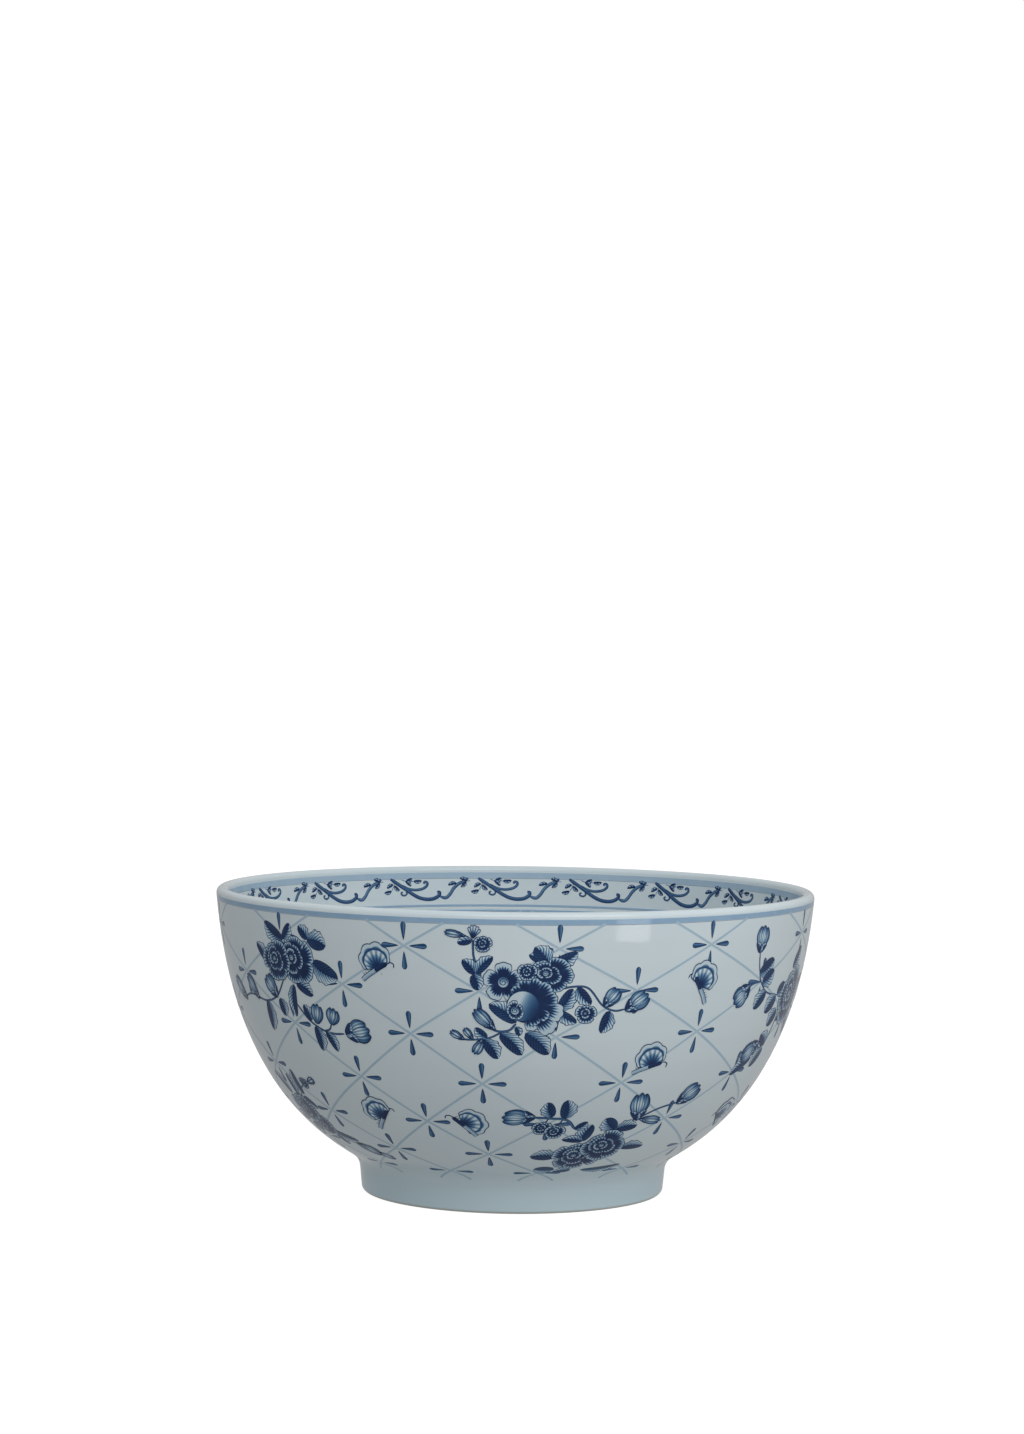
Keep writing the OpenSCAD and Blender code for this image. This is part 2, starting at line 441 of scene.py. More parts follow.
coat("outer_coat", OUTSIDE, glaze_out, ("outer_glaze",))
coat("inner_coat", INSIDE, glaze_in, ("inner_glaze",))
for name, face, ends, tone, node in (
    ("outer_rim_band", OUTSIDE, OUTER_BAND, 0.185, "rim_band_outer"),
    ("inner_rim_band", INSIDE, INNER_BAND, 0.11, "rim_band_inner"),
    ("border_double_line_upper", INSIDE, BORDER_LINES[0], 0.19, "border_line_upper"),
    ("border_double_line_lower", INSIDE, BORDER_LINES[1], 0.19, "border_line_lower"),
):
    band(name, face, ends, tone, node)


def well_coat():
    """The glaze inside the foot ring, rounded where it pools in the corner."""
    corner, clearance = 2.2, 0.02
    top, inner = FOOT_H - GLAZE_T, WELL_R - 0.4 - GLAZE_T
    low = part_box("well_glaze")[0].z / M
    curve = arc((inner - corner, top - corner), corner, math.pi / 2, 0, 10)
    front = [(0, top), (inner - 8, top)] + curve.tolist() + [(WELL_R - GLAZE_T, low + 0.1)]
    back = [(WELL_R, low), (WELL_R - 0.35, FOOT_H - clearance), (0, FOOT_H - clearance)]
    revolve("well_coat", np.array(front + back), glaze_under, None, ("well_glaze",))


well_coat()
for node, material in (("bowl_body", biscuit), ("foot_ring", bare_foot)):
    body = frame["nodes"][node]
    body.data.materials.clear()
    body.data.materials.append(material)


# ---- Drawing the print ----
# Each part of the drawing is a small curved sheet that lies on the glaze. The kinds lie on layers a
# few thousandths of a millimetre apart, lines lowest and flowers highest. Lines and crosses share
# some layers, so a line can cover an arm that it runs along. Each flower has ten layers of its own,
# and neighbouring flowers take turns on four such stacks.
LIFT = 0.030
LAYER = 0.006
LAYERS = {"line": 0, "cross": 1, "stem": 4, "leaf": 7, "flower": 10}
SUBLAYERS = 6
FLOWER_LAYERS = 10
FLOWER_STACK = 4
# Width of a cross's arm, and length of a butterfly's wing
ARM_WIDTH = 2.7
WING = 12.4


def on_wall(face, way):
    """Placing on one wall: x to the right and y up from a point of it. way is 1 outside and -1
    inside, where x to the right lowers the angle, and turn mirrors or flattens the drawing."""
    def wall(angle, s, turn=(1, 1)):
        def place(x, y, lift):
            at_s = s - turn[1] * y
            r = np.interp(at_s, face.s, face.line[:, 0])
            return face.at(angle + way * np.degrees(turn[0] * x / r), at_s, lift)
        return place
    return wall


outside_wall, inside_wall = on_wall(OUTSIDE, 1), on_wall(INSIDE, -1)


def floor_plane(angle):
    """Places a drawing on the inside floor as seen from above, turned about the middle."""
    start = int(np.argmax(INSIDE.line[:, 1] < BOWL_H - 20))

    def place(x, y, lift):
        r = np.hypot(x, y)
        s = np.interp(-r, -INSIDE.line[start:, 0], INSIDE.s[start:])
        return INSIDE.at(angle + np.degrees(np.arctan2(y, x)), s, lift)
    return place


ROUND = (1, 1, 0)


def squeeze(x, y, squash):
    """Scales along and across a direction."""
    sx, sy, angle = squash
    c, s = math.cos(math.radians(angle)), math.sin(math.radians(angle))
    a, b = (x * c + y * s) * sx, (y * c - x * s) * sy
    return a * c - b * s, a * s + b * c


def axis(x0, y0, x1, y1):
    """The run, rise, length and unit normal of a straight line."""
    run, rise = x1 - x0, y1 - y0
    length = math.hypot(run, rise)
    return run, rise, length, -rise / length, run / length


def disc(spokes, rings):
    """Angles and parts of the radius for a round sheet."""
    return np.linspace(-math.pi, math.pi, spokes)[None, :], np.linspace(0.02, 1, rings)[:, None]


class Drawing:
    """Collects the sheets of one piece of the print."""

    def __init__(self, name, place=None, face=None):
        self.name, self.place, self.face = name, place, face
        self.verts, self.faces, self.inks = [], [], []
        self.made, self.flowers = 0, 0

    def sheet(self, x, y, kind, tone, phase=0.0, edge=5.0, depth=0.0, order=None):
        """A grid of points with its ink. Sheets of one kind take turns on a few sublayers, and each
        flower has layers of its own, counted by order from its lowest petal."""
        x, y = np.broadcast_arrays(x, y)
        ink = np.stack([np.broadcast_to(v, x.shape) for v in (tone, phase, edge, depth)], -1)
        if order is None:
            order = 0.5 * (self.made % SUBLAYERS)
        if kind == "flower":
            order += FLOWER_LAYERS * (self.flowers % FLOWER_STACK)
        lift = LIFT + LAYER * (LAYERS[kind] + order)
        self.made += 1
        points = self.place(x, y, lift)
        rows, cols = x.shape
        first = sum(len(v) for v in self.verts)
        index = first + np.arange(rows * cols).reshape(rows, cols)
        corners = (index[:-1, :-1], index[1:, :-1], index[1:, 1:], index[:-1, 1:])
        quads = np.stack(corners, -1).reshape(-1, 4)
        # Every sheet faces away from the glaze
        a, b, c = points[0, 0], points[1, 0], points[0, 1]
        above = self.place(x[:1, :1], y[:1, :1], lift + 1)[0, 0]
        if np.dot(np.cross(b - a, c - a), above - a) < 0:
            quads = quads[:, ::-1]
        self.verts.append(points.reshape(-1, 3))
        self.inks.append(ink.reshape(-1, 4))
        self.faces += quads.tolist()

    def polar(self, x, y, r, a, tone, phase, edge, depth, order, squash=ROUND):
        """A sheet of a flower, given by radius and angle about a middle."""
        px, py = squeeze(r * np.cos(a), r * np.sin(a), squash)
        self.sheet(x + px, y + py, "flower", tone, phase, edge, depth, order)

    def finish(self):
        verts, inks = np.concatenate(self.verts), np.concatenate(self.inks)
        return make_piece(self.name, verts, self.faces, cobalt_print, inks)

    def draw(self, motifs):
        """Draws a list of motifs, each a name and one or more sets of its numbers."""
        for name, *each in motifs:
            for numbers in each:
                getattr(self, name)(*numbers)

    def stroke(self, points, width, kind="stem", tone=0.50, edged=True, taper=(0.6, 0.6), side=0.25,
               order=None):
        """A ribbon along a smooth line through the points, darker on one side."""
        line = smooth_line(points)
        step = np.gradient(line, axis=0)
        step /= np.linalg.norm(step, axis=1)[:, None] + 1e-9
        t = np.linspace(0, 1, len(line))[:, None]
        across = np.array([-1, -0.45, 0, 0.45, 1])[None, :]
        half = width / 2 * np.minimum(1, np.minimum(taper[0] + 5 * t, taper[1] + 5 * (1 - t)))
        x = line[:, :1] - step[:, 1:] * across * half
        y = line[:, 1:] + step[:, :1] * across * half
        edge = (1 - np.abs(across)) * half + (0.10 if edged else 5)
        self.sheet(x, y, kind, tone - side * across, 0.0, edge, 0.25, order)

    def line(self, angles, s, width=1.3, tone=0.095):
        """A pale lattice line with soft edges, between points given by angle and arc length."""
        t = np.linspace(0, 1, max(6, int(abs(s[1] - s[0]) / 1.5)))[:, None]
        across = np.array([-1, -0.5, 0, 0.5, 1])[None, :]
        a = angles[0] + (angles[1] - angles[0]) * t
        d = s[0] + (s[1] - s[0]) * t
        r = np.interp(d, self.face.s, self.face.line[:, 0])
        run, drop = np.radians(angles[1] - angles[0]) * r, s[1] - s[0]
        length = np.hypot(run, drop)
        x = a - np.degrees(across * width / 2 * drop / length / r)
        y = d + across * width / 2 * run / length
        self.sheet(x, y, "line", tone, 0.0, -0.42 - 0.45 * np.abs(across) ** 2, 0.0)

    def drop_leaf(self, x0, y0, x1, y1):
        """One arm of a cross: pointed at the node and round at the far end."""
        shoulder = 0.78
        end = np.sin(np.linspace(0.25, 1, 6) * math.pi / 2)
        t = np.concatenate([np.linspace(0, shoulder, 8), shoulder + (1 - shoulder) * end])
        cap = np.sqrt(np.clip(1 - ((t - shoulder) / (1 - shoulder)) ** 2, 0, 1))
        swell = np.where(t < shoulder, (t / shoulder) ** 0.62, cap)
        half = (ARM_WIDTH / 2 * np.maximum(swell, 0.05))[:, None]
        across = np.array([-1, -0.6, -0.2, 0.2, 0.6, 1])[None, :]
        run, rise, _, nx, ny = axis(x0, y0, x1, y1)
        x = x0 + run * t[:, None] + nx * across * half
        y = y0 + rise * t[:, None] + ny * across * half
        edge = (1 - np.abs(across)) * half + 0.10 * t[:, None]
        self.sheet(x, y, "cross", 0.52 + 0.14 * across, across * 0.9, edge, 0.22)

    def cross(self, x, y, gap=2.7, length=8.7, arms=(0, 90, 180, 270)):
        for arm in np.radians(arms):
            c, d = math.cos(arm), math.sin(arm)
            self.drop_leaf(x + gap * c, y + gap * d, x + (gap + length) * c, y + (gap + length) * d)

    def leaf(self, x0, y0, x1, y1, width, dark=1, bend=0.10, kind="leaf", order=None):
        """A leaf with one half in shadow, on the side that dark gives, and engraved veins."""
        t = np.linspace(0, 1, 13)[:, None]
        across = np.array([-1, -0.86, -0.6, -0.32, -0.05, 0.05, 0.32, 0.6, 0.86, 1])[None, :]
        out = np.abs(across)
        run, rise, length, nx, ny = axis(x0, y0, x1, y1)
        bow = -dark * bend * length * 4 * t * (1 - t)
        ripple = 1 + 0.11 * np.sin(2 * math.pi * 3.4 * t) * (across * dark < 0)
        half = width / 2 * (np.sin(math.pi * t ** 0.96) ** 0.56 + 0.04) * ripple
        x = x0 + run * t + nx * (bow + across * half)
        y = y0 + rise * t + ny * (bow + across * half)
        shadow = across * dark > 0
        pale = 0.02 + 0.46 * (1 - out) ** 2.4 + 0.30 * (1 - t) ** 2
        tone = np.where(shadow, 1.1 - 0.26 * out, pale)
        phase = t * length / 1.7 - out * width * 0.30
        edge = np.minimum((1 - out) * half, 0.9 * (1 - t) * length) + 0.05
        self.sheet(x, y, kind, tone, phase, edge, np.where(shadow, 0.62, 0.62 - 0.3 * out), order)

    def petal(self, x, y, angle, near, far, spread, dark=1.1, order=0.0, hold=0.35, fall=0.85,
              notch=0.26, squash=ROUND):
        """One lobed petal: dark from the throat to hold, then feathered away to a pale rim at fall."""
        u = np.linspace(-1, 1, 21)[None, :]
        v = np.linspace(0, 1, 13)[:, None]
        frill = 1 + 0.045 * np.abs(np.sin(1.5 * math.pi * (u + 1)))
        reach = far * (1 - notch * u ** 4) * frill
        r = near + (reach - near) * v
        a = math.radians(angle) + u * math.radians(spread) * (0.82 + 0.18 * v)
        fade = np.clip((v - hold) / (fall - hold), 0, 1)
        fade = fade * fade * (3 - 2 * fade)
        flank = 1 - np.clip((np.abs(u) - 0.70) / 0.30, 0, 1) ** 2 * np.clip((v - 0.2) / 0.3, 0, 1)
        tone = dark * (1 - fade) * flank + 0.05
        edge = np.minimum((1 - v) * (reach - near), (1 - np.abs(u)) * math.radians(spread) * r) + 0.03
        lines = math.radians(spread) * 0.75 * far / 1.35
        depth = 0.95 * 4 * fade * (1 - fade) + 0.12 * (1 - fade)
        self.polar(x, y, r, a, tone, u * lines, edge, depth, order, squash)

    def petals(self, x, y, count, near, far, start, dark, order, overlap=1.2, hold=0.35, fall=0.85,
               squash=ROUND):
        """A ring of petals, a little uneven in direction and length."""
        for k in range(count):
            angle = start + 360 / count * k + 6 * math.sin(3.7 * k + start)
            reach = far * (1 + 0.10 * math.sin(2.4 * k + start))
            spread = 180 / count * overlap
            self.petal(x, y, angle, near, reach, spread, dark, order + 0.4 * k, hold, fall, squash=squash)

    def ground(self, x, y, r, squash=ROUND):
        """The dark ground under a flower's petals."""
        u, v = disc(25, 6)
        self.polar(x, y, r * v, u, 1.0, 0.0, 5.0, 0.1, -0.6, squash)

    def curl_heart(self, x, y, r, order=7.4):
        """The pale rolled middle of a flower, with a dark spiral line."""
        u, v = disc(19, 6)
        tone = 0.06 + 0.22 * (1 + np.sin(u)) * v
        self.polar(x, y, r * v, u, tone, 0.0, (1 - v) * r + 0.02, 0.1, order)
        turns = np.linspace(0, 3.2 * math.pi, 16)
        curl = r * 0.72 * (1 - turns / 12)
        spiral = list(zip(x + curl * np.cos(turns), y + curl * np.sin(turns)))
        self.stroke(spiral, 0.10 * r + 0.14, "flower", 0.9, False, (0.5, 0.5), 0, order + 0.5)

    def rose(self, x, y, r, turn=0.0, squash=ROUND):
        """A full rose: three rings of petals on a dark ground, the inner two round a heart that lies
        off the middle."""
        self.flowers += 1
        self.ground(x, y, 0.62 * r, squash)
        self.petals(x, y, 6, 0.30 * r, r, turn, 1.25, 0.0, 1.18, 0.48, 0.98, squash)
        a, b = x - 0.10 * r, y + 0.08 * r
        self.petals(a, b, 5, 0.16 * r, 0.60 * r, turn + 30, 1.2, 2.8, 1.12, 0.50, 0.96, squash)
        a, b = x - 0.14 * r, y + 0.12 * r
        self.petals(a, b, 3, 0.04 * r, 0.34 * r, turn + 75, 1.05, 5.2, 1.05, 0.42, 0.84, squash)
        self.curl_heart(a, b, 0.15 * r)

    def small_rose(self, x, y, r):
        """A small rose: a ring of five petals, and three round an off-middle heart."""
        self.flowers += 1
        self.ground(x, y, 0.6 * r)
        self.petals(x, y, 5, 0.30 * r, r, 15, 1.1, 0.0, 1.15, 0.40, 0.84)
        a, b = x - 0.10 * r, y + 0.08 * r
        self.petals(a, b, 3, 0.08 * r, 0.52 * r, 40, 1.0, 3.0, 1.1, 0.3, 0.8)
        self.curl_heart(a, b, 0.22 * r, 5.0)

    def flower(self, x, y, r):
        """An open flower of five broad petals with a round eye."""
        self.flowers += 1
        self.ground(x, y, 0.5 * r)
        for k in range(5):
            self.petal(x, y, 90 + 72 * k, 0.20 * r, r, 37, 1.25, 0.4 * k, 0.44, 0.76, 0.40)
        self.curl_heart(x, y, 0.30 * r)

    def globe_rose(self, x, y, r):
        """The large rose: a pale globe with a coiled mouth, and ruffles spread to its right."""
        self.flowers += 1
        a, b = x + 0.25 * r, y + 0.1 * r
        self.ground(a, b, 1.20 * r)
        # Each petal's direction and reach
        low = ((-76, 1.72), (-48, 2.35), (-16, 2.25))
        ruffles = ((-66, 1.45), (-34, 1.55), (14, 1.88), (42, 1.85), (70, 1.75), (98, 1.6), (126, 1.40))
        for k, (angle, reach) in enumerate(low):
            self.petal(a, b, angle, 0.55 * r, reach * r, 20, 1.2, 0.4 * k, 0.46, 0.82)
        for k, (angle, reach) in enumerate(ruffles):
            self.petal(a, b, angle, 0.55 * r, reach * r, 18, 1.3, 1.4 + 0.3 * k, 0.55, 0.98)
        u, v = disc(33, 10)
        tone = np.clip(0.22 - 0.74 * v * np.cos(u - math.radians(155)), 0.03, 1.0)
        self.polar(x, y, r * v, u, tone, 0.0, (1 - v) * r + 0.03, 0.12, 4.0)
        a, b = x - 0.46 * r, y - 0.30 * r
        self.petals(a, b, 5, 0.16 * r, 0.62 * r, 30, 1.1, 4.6, 1.1, 0.42, 0.84, (0.85, 1, 0))
        self.curl_heart(a, b, 0.30 * r, 6.8)

    def bud(self, x0, y0, x1, y1, width, calyx=True):
        """A closed flower with long folded petals, opening from a small leafy cup."""
        self.flowers += 1
        t = np.linspace(0, 1, 13)[:, None]
        across = np.linspace(-1, 1, 13)[None, :]
        run, rise, length, nx, ny = axis(x0, y0, x1, y1)
        half = width / 2 * (0.24 + 0.76 * np.sin(math.pi * t ** 0.95 * 0.68) ** 0.95)
        top = t * (1 - 0.17 * across ** 2 + 0.10 * np.abs(np.cos(1.5 * math.pi * across)))
        x = x0 + run * top + nx * across * half
        y = y0 + rise * top + ny * across * half
        sides = 0.75 * np.clip(-across, 0, 1) ** 3.2 + 0.45 * np.clip(across, 0, 1) ** 4
        tone = sides + 0.75 * (1 - t) ** 3.2 + 0.90 * t ** 5
        edge = np.minimum((1 - np.abs(across)) * half, (1 - t) * length) + 0.03
        self.sheet(x, y, "flower", tone, across * width / 3.2, edge, 0.30, 0.0)

        def spot(along, beside):
            return x0 + along * run + beside * width * nx, y0 + along * rise + beside * width * ny

        for k in (-0.21, 0.17):
            fold = [spot(0.15, 0.3 * k), spot(0.55, k), spot(0.93, 0.7 * k)]
            self.stroke(fold, 0.38, "flower", 0.8, False, (0.5, 0.3), 0, 1.0)
        if calyx:
            for k in (-1, 1):
                self.leaf(*spot(-0.16, 0), *spot(0.30, 0.40 * k), 0.32 * width, k, 0.1, "flower", 2 + k)
            self.leaf(*spot(-0.18, 0), *spot(0.22, 0), 0.34 * width, 1, 0, "flower", 4)

    def fan(self, x0, y0, x1, y1, width):
        """A small open bell of narrow petals."""
        self.flowers += 1
        run, rise, length, _, _ = axis(x0, y0, x1, y1)
        angle = math.degrees(math.atan2(rise, run))
        half = math.degrees(math.atan2(width / 2, length))
        for k in (-2, 2, -1, 1, 0):
            a, reach = angle + 0.42 * k * half, length * (1 - 0.03 * k * k)
            self.petal(x0, y0, a, 0.1 * length, reach, 0.30 * half, 0.9, 2 - abs(k), 0.2, 0.7)

    def butterfly(self, x, y, wing, head):
        """A butterfly from the side. wing and head are the directions of its wing and its head."""
        self.flowers += 1
        u = np.linspace(-1, 1, 49)[None, :]
        v = np.array([0.03, 0.15, 0.3, 0.45, 0.6, 0.72, 0.76, 0.80, 0.84, 0.92, 1])[:, None]
        phi = np.radians(u * 80)
        scallop = 1 + 0.085 * np.abs(np.sin(phi * 5.6))
        reach = WING * np.cos(phi * 0.88) ** 0.60 * np.where(v > 0.82, scallop, 1)
        a = math.radians(wing) + phi
        inner = 1.25 * np.clip(1 - v / 0.62, 0, 1) ** 0.9 + 0.06
        rim = np.clip(1 - np.abs(v - 0.78) / 0.06, 0, 1)
        tone = np.where(v < 0.83, np.maximum(inner, rim), 0.03)
        edge = np.minimum((1 - v) * reach, (1 - np.abs(u)) * 1.4 * reach * v) - 0.02
        depth = np.where(v < 0.74, 0.34, 0.0)
        self.polar(x, y, reach * v, a, tone, u * 4.2, np.maximum(edge, 0.0), depth, 0.0)
        c, d = math.cos(math.radians(head)), math.sin(math.radians(head))
        # Which side of the body the wing is on
        k = 1 if math.sin(math.radians(head - wing)) > 0 else -1

        def spot(along, below):
            return x + along * c + below * k * d, y + along * d - below * k * c

        for j in range(10):
            q = -7.5 + 1.4 * j
            self.stroke([spot(q, 0.6), spot(q - 0.5, 2.7)], 0.3, "stem", 0.8, False, (0.8, 0.3), 0)
        tail = [spot(-10.2, -0.2), spot(-6, 0.2), spot(-1, 0.2), spot(1.6, 0.3)]
        self.stroke(tail, 2.5, "flower", 0.12, True, (0.85, 0.6), 0.10, 1.0)
        front = [spot(-1.8, 0.2), spot(2, 0.1), spot(5.6, 0)]
        self.stroke(front, 2.3, "flower", 0.95, True, (0.5, 0.6), 0.1, 2.0)
        feeler = [spot(5.4, 0), spot(7.2, -0.3), spot(8.4, -2.0), spot(7.4, -3.6)]
        self.stroke(feeler, 0.6, "stem", 0.8, False, (0.8, 0.5), 0)


def smooth_line(points, step=0.9):
    """A line through the points, rounded as a Catmull-Rom curve."""
    p = np.array(points, float)
    if len(p) == 2:
        t = np.linspace(0, 1, max(3, int(np.linalg.norm(p[1] - p[0]) / step)))[:, None]
        return p[0] * (1 - t) + p[1] * t
    p = np.concatenate([[2 * p[0] - p[1]], p, [2 * p[-1] - p[-2]]])
    out = []
    for a, b, c, d in zip(p, p[1:], p[2:], p[3:]):
        t = np.linspace(0, 1, max(3, int(np.linalg.norm(c - b) / step)), endpoint=False)[:, None]
        square, cube = 2 * a - 5 * b + 4 * c - d, 3 * b - a - 3 * c + d
        out.append(0.5 * (2 * b + (c - a) * t + square * t ** 2 + cube * t ** 3))
    return np.concatenate(out + [p[-2:-1]])


# ---- The lattice and its crosses ----
# Outside: arc length of each row of crossings, and the angles of the columns over half a turn
OUT_ROWS = (18.5, 39, 61.4, 86.7, 111, 134, 153)
OUT_COLUMNS = (206.5, 221.5, 236.3, 249.8, 263.6, 278, 293, 308.3, 324.6, 341, 356.5, 371.5)
# How far the lines run on below the last row, and how far they reach under the rim band
OUT_TAIL = 8
UNDER_BAND = 0.2
# Inside: arc length and first angle of each row, and the angle from one crossing to the next
IN_ROWS = ((26.3, None), (39, 12.5), (52.5, -1.5), (67, 13.3), (85.5, -1.7), (110.5, 15), (134, 1.5))
IN_STEP = 30
# How much of half a step the lines up to the border spread
IN_TOP_SPREAD = 0.94
# Floor: one crossing, and the steps along the two directions of the lattice
FLOOR_START, FLOOR_A, FLOOR_B = (-31, 4.9), (27, -38.8), (35, 31)
FLOOR_TURN = 4.8
# The circle round the floor: its radius on the floor, and its arc length down the inside
MEDALLION_R = 92
MEDALLION_S = 134


def column_angle(k):
    half_turns, column = divmod(k, len(OUT_COLUMNS))
    return OUT_COLUMNS[column] + 180 * half_turns


def draw_outside_lattice():
    lines = Drawing("print_lattice_outside", OUTSIDE.at, OUTSIDE)
    crosses = Drawing("print_crosses_outside")
    last = len(OUT_ROWS) - 1
    first_fall = (OUT_ROWS[0] - OUTER_BAND[1]) / (OUT_ROWS[1] - OUT_ROWS[0])
    last_fall = OUT_TAIL / (OUT_ROWS[last] - OUT_ROWS[last - 1])
    for row, s in enumerate(OUT_ROWS):
        # Crossings lie on every second column, and shift by one from row to row
        for k in range(1 - row % 2, 2 * len(OUT_COLUMNS), 2):
            here = column_angle(k)
            for step in (column_angle(k - 1) - here, column_angle(k + 1) - here):
                if row == 0:
                    lines.line((here, here + step * first_fall), (s, OUTER_BAND[1] - UNDER_BAND))
                if row < last:
                    lines.line((here, here + step), (s, OUT_ROWS[row + 1]))
                else:
                    lines.line((here, here + step * last_fall), (s, s + OUT_TAIL))
            crosses.place = outside_wall(here, s)
            crosses.cross(0, 0, arms=(0, 90, 180, 270) if row < last else (0, 180))
    lines.finish()
    crosses.finish()


def draw_inside_lattice():
    lines = Drawing("print_lattice_inside", INSIDE.at, INSIDE)
    crosses = Drawing("print_crosses_inside")
    for (above, other), (s, first) in zip(IN_ROWS, IN_ROWS[1:]):
        for k in range(360 // IN_STEP):
            here = first + IN_STEP * k
            if other is None:
                steps = [way * IN_STEP / 2 * IN_TOP_SPREAD for way in (-1, 1)]
            else:
                right = (other - here) % IN_STEP
                steps = [right - IN_STEP, right]
            for step in steps:
                lines.line((here, here + step), (s, above))
            crosses.place = inside_wall(here, s)
            crosses.cross(0, 0, length=8.4)
    for angle in range(0, 360, 5):
        lines.line((angle, angle + 5), (MEDALLION_S, MEDALLION_S))
    lines.finish()
    crosses.finish()


def draw_floor_lattice():
    lines = Drawing("print_lattice_floor", floor_plane(FLOOR_TURN))
    crosses = Drawing("print_crosses_floor", floor_plane(FLOOR_TURN))
    start, a, b = (np.array(v, float) for v in (FLOOR_START, FLOOR_A, FLOOR_B))
    counts = range(-4, 5)
    for along, step in ((a, b), (b, a)):
        unit = along / np.linalg.norm(along)
        for k in counts:
            p = start + k * step
            near = -np.dot(p, unit)
            miss = np.linalg.norm(p + near * unit)
            if miss < MEDALLION_R - 1:
                reach = math.sqrt(MEDALLION_R ** 2 - miss ** 2)
                ends = [tuple(p + (near + way * reach) * unit) for way in (-1, 1)]
                lines.stroke(ends, 1.2, "line", 0.115, False, (1, 1), 0)
    for i in counts:
        for j in counts:
            x, y = start + i * a + j * b
            if math.hypot(x, y) < MEDALLION_R - 14:
                crosses.cross(x, y, 3.0, 10.0)
    lines.finish()
    crosses.finish()


draw_outside_lattice()
draw_inside_lattice()
draw_floor_lattice()

# ---- The border of scrolls inside the lip ----
BORDER_COUNT = 18
BORDER_START = 78.2
# y is measured down from the crest of the lip, and so is negative
SCROLLS = (
    ("stroke", ([(0, -8.2), (4, -10.8), (9.2, -14.2), (13, -16.8), (17, -18.8), (21, -19.6), (25, -19.2),
      (27.8, -17.6), (28.2, -15.9), (26.9, -15.6)], 2, "leaf", 0.58),
     ([(28.6, -18.2), (31.6, -18.9), (34, -17), (36.2, -13.9), (39, -11.4), (42, -10),
      (44.6, -8.2)], 1.8, "stem", 0.42),
     ([(5.5, -11.3), (10, -13.6), (14.5, -14.4), (19, -13.7), (21.4, -11.9), (21.3, -10.4),
      (20, -10.2), (19.5, -11.2)], 1.5, "stem", 0.48),
     ([(8.9, -14.6), (9.5, -16.2), (8.2, -17.3), (6.4, -16.9), (6.2, -15.8),
      (7.2, -15.5)], 1, "stem", 0.48),
     ([(6.5, -8.7), (10, -9.7), (14, -9.7)], 0.4, "stem", 0.46, False)),
    ("leaf", (9.2, -9.6, 12.9, -8.1, 2.3), (8.8, -9.4, 12.1, -12.4, 2.2, -1),
     (13.6, -9.6, 18.4, -9.4, 2.1)),
    ("stroke", ([(2.4, -10.6), (1.6, -12.8), (0.2, -15)], 0.4, "stem", 0.46, False)),
    ("leaf", (1.6, -11.2, -2.3, -13.2, 2.1), (0.4, -14.8, -4, -15.6, 2.2, -1),
     (2.2, -11.8, 5.2, -14.7, 2.2)),
    ("stroke", ([(-4.2, -9.7), (-8, -10), (-12.2, -11)], 0.4, "stem", 0.46, False)),
    ("leaf", (-6, -9.8, -10.2, -8.2, 2.1), (-6.6, -10, -9.6, -13.1, 2.1, -1),
     (-12, -10.9, -16.8, -12, 2.1)),
)
border = Drawing("print_border_scrolls")
for k in range(BORDER_COUNT):
    border.place = inside_wall(BORDER_START + 360 / BORDER_COUNT * k, 0)
    border.draw(SCROLLS)
border.finish()

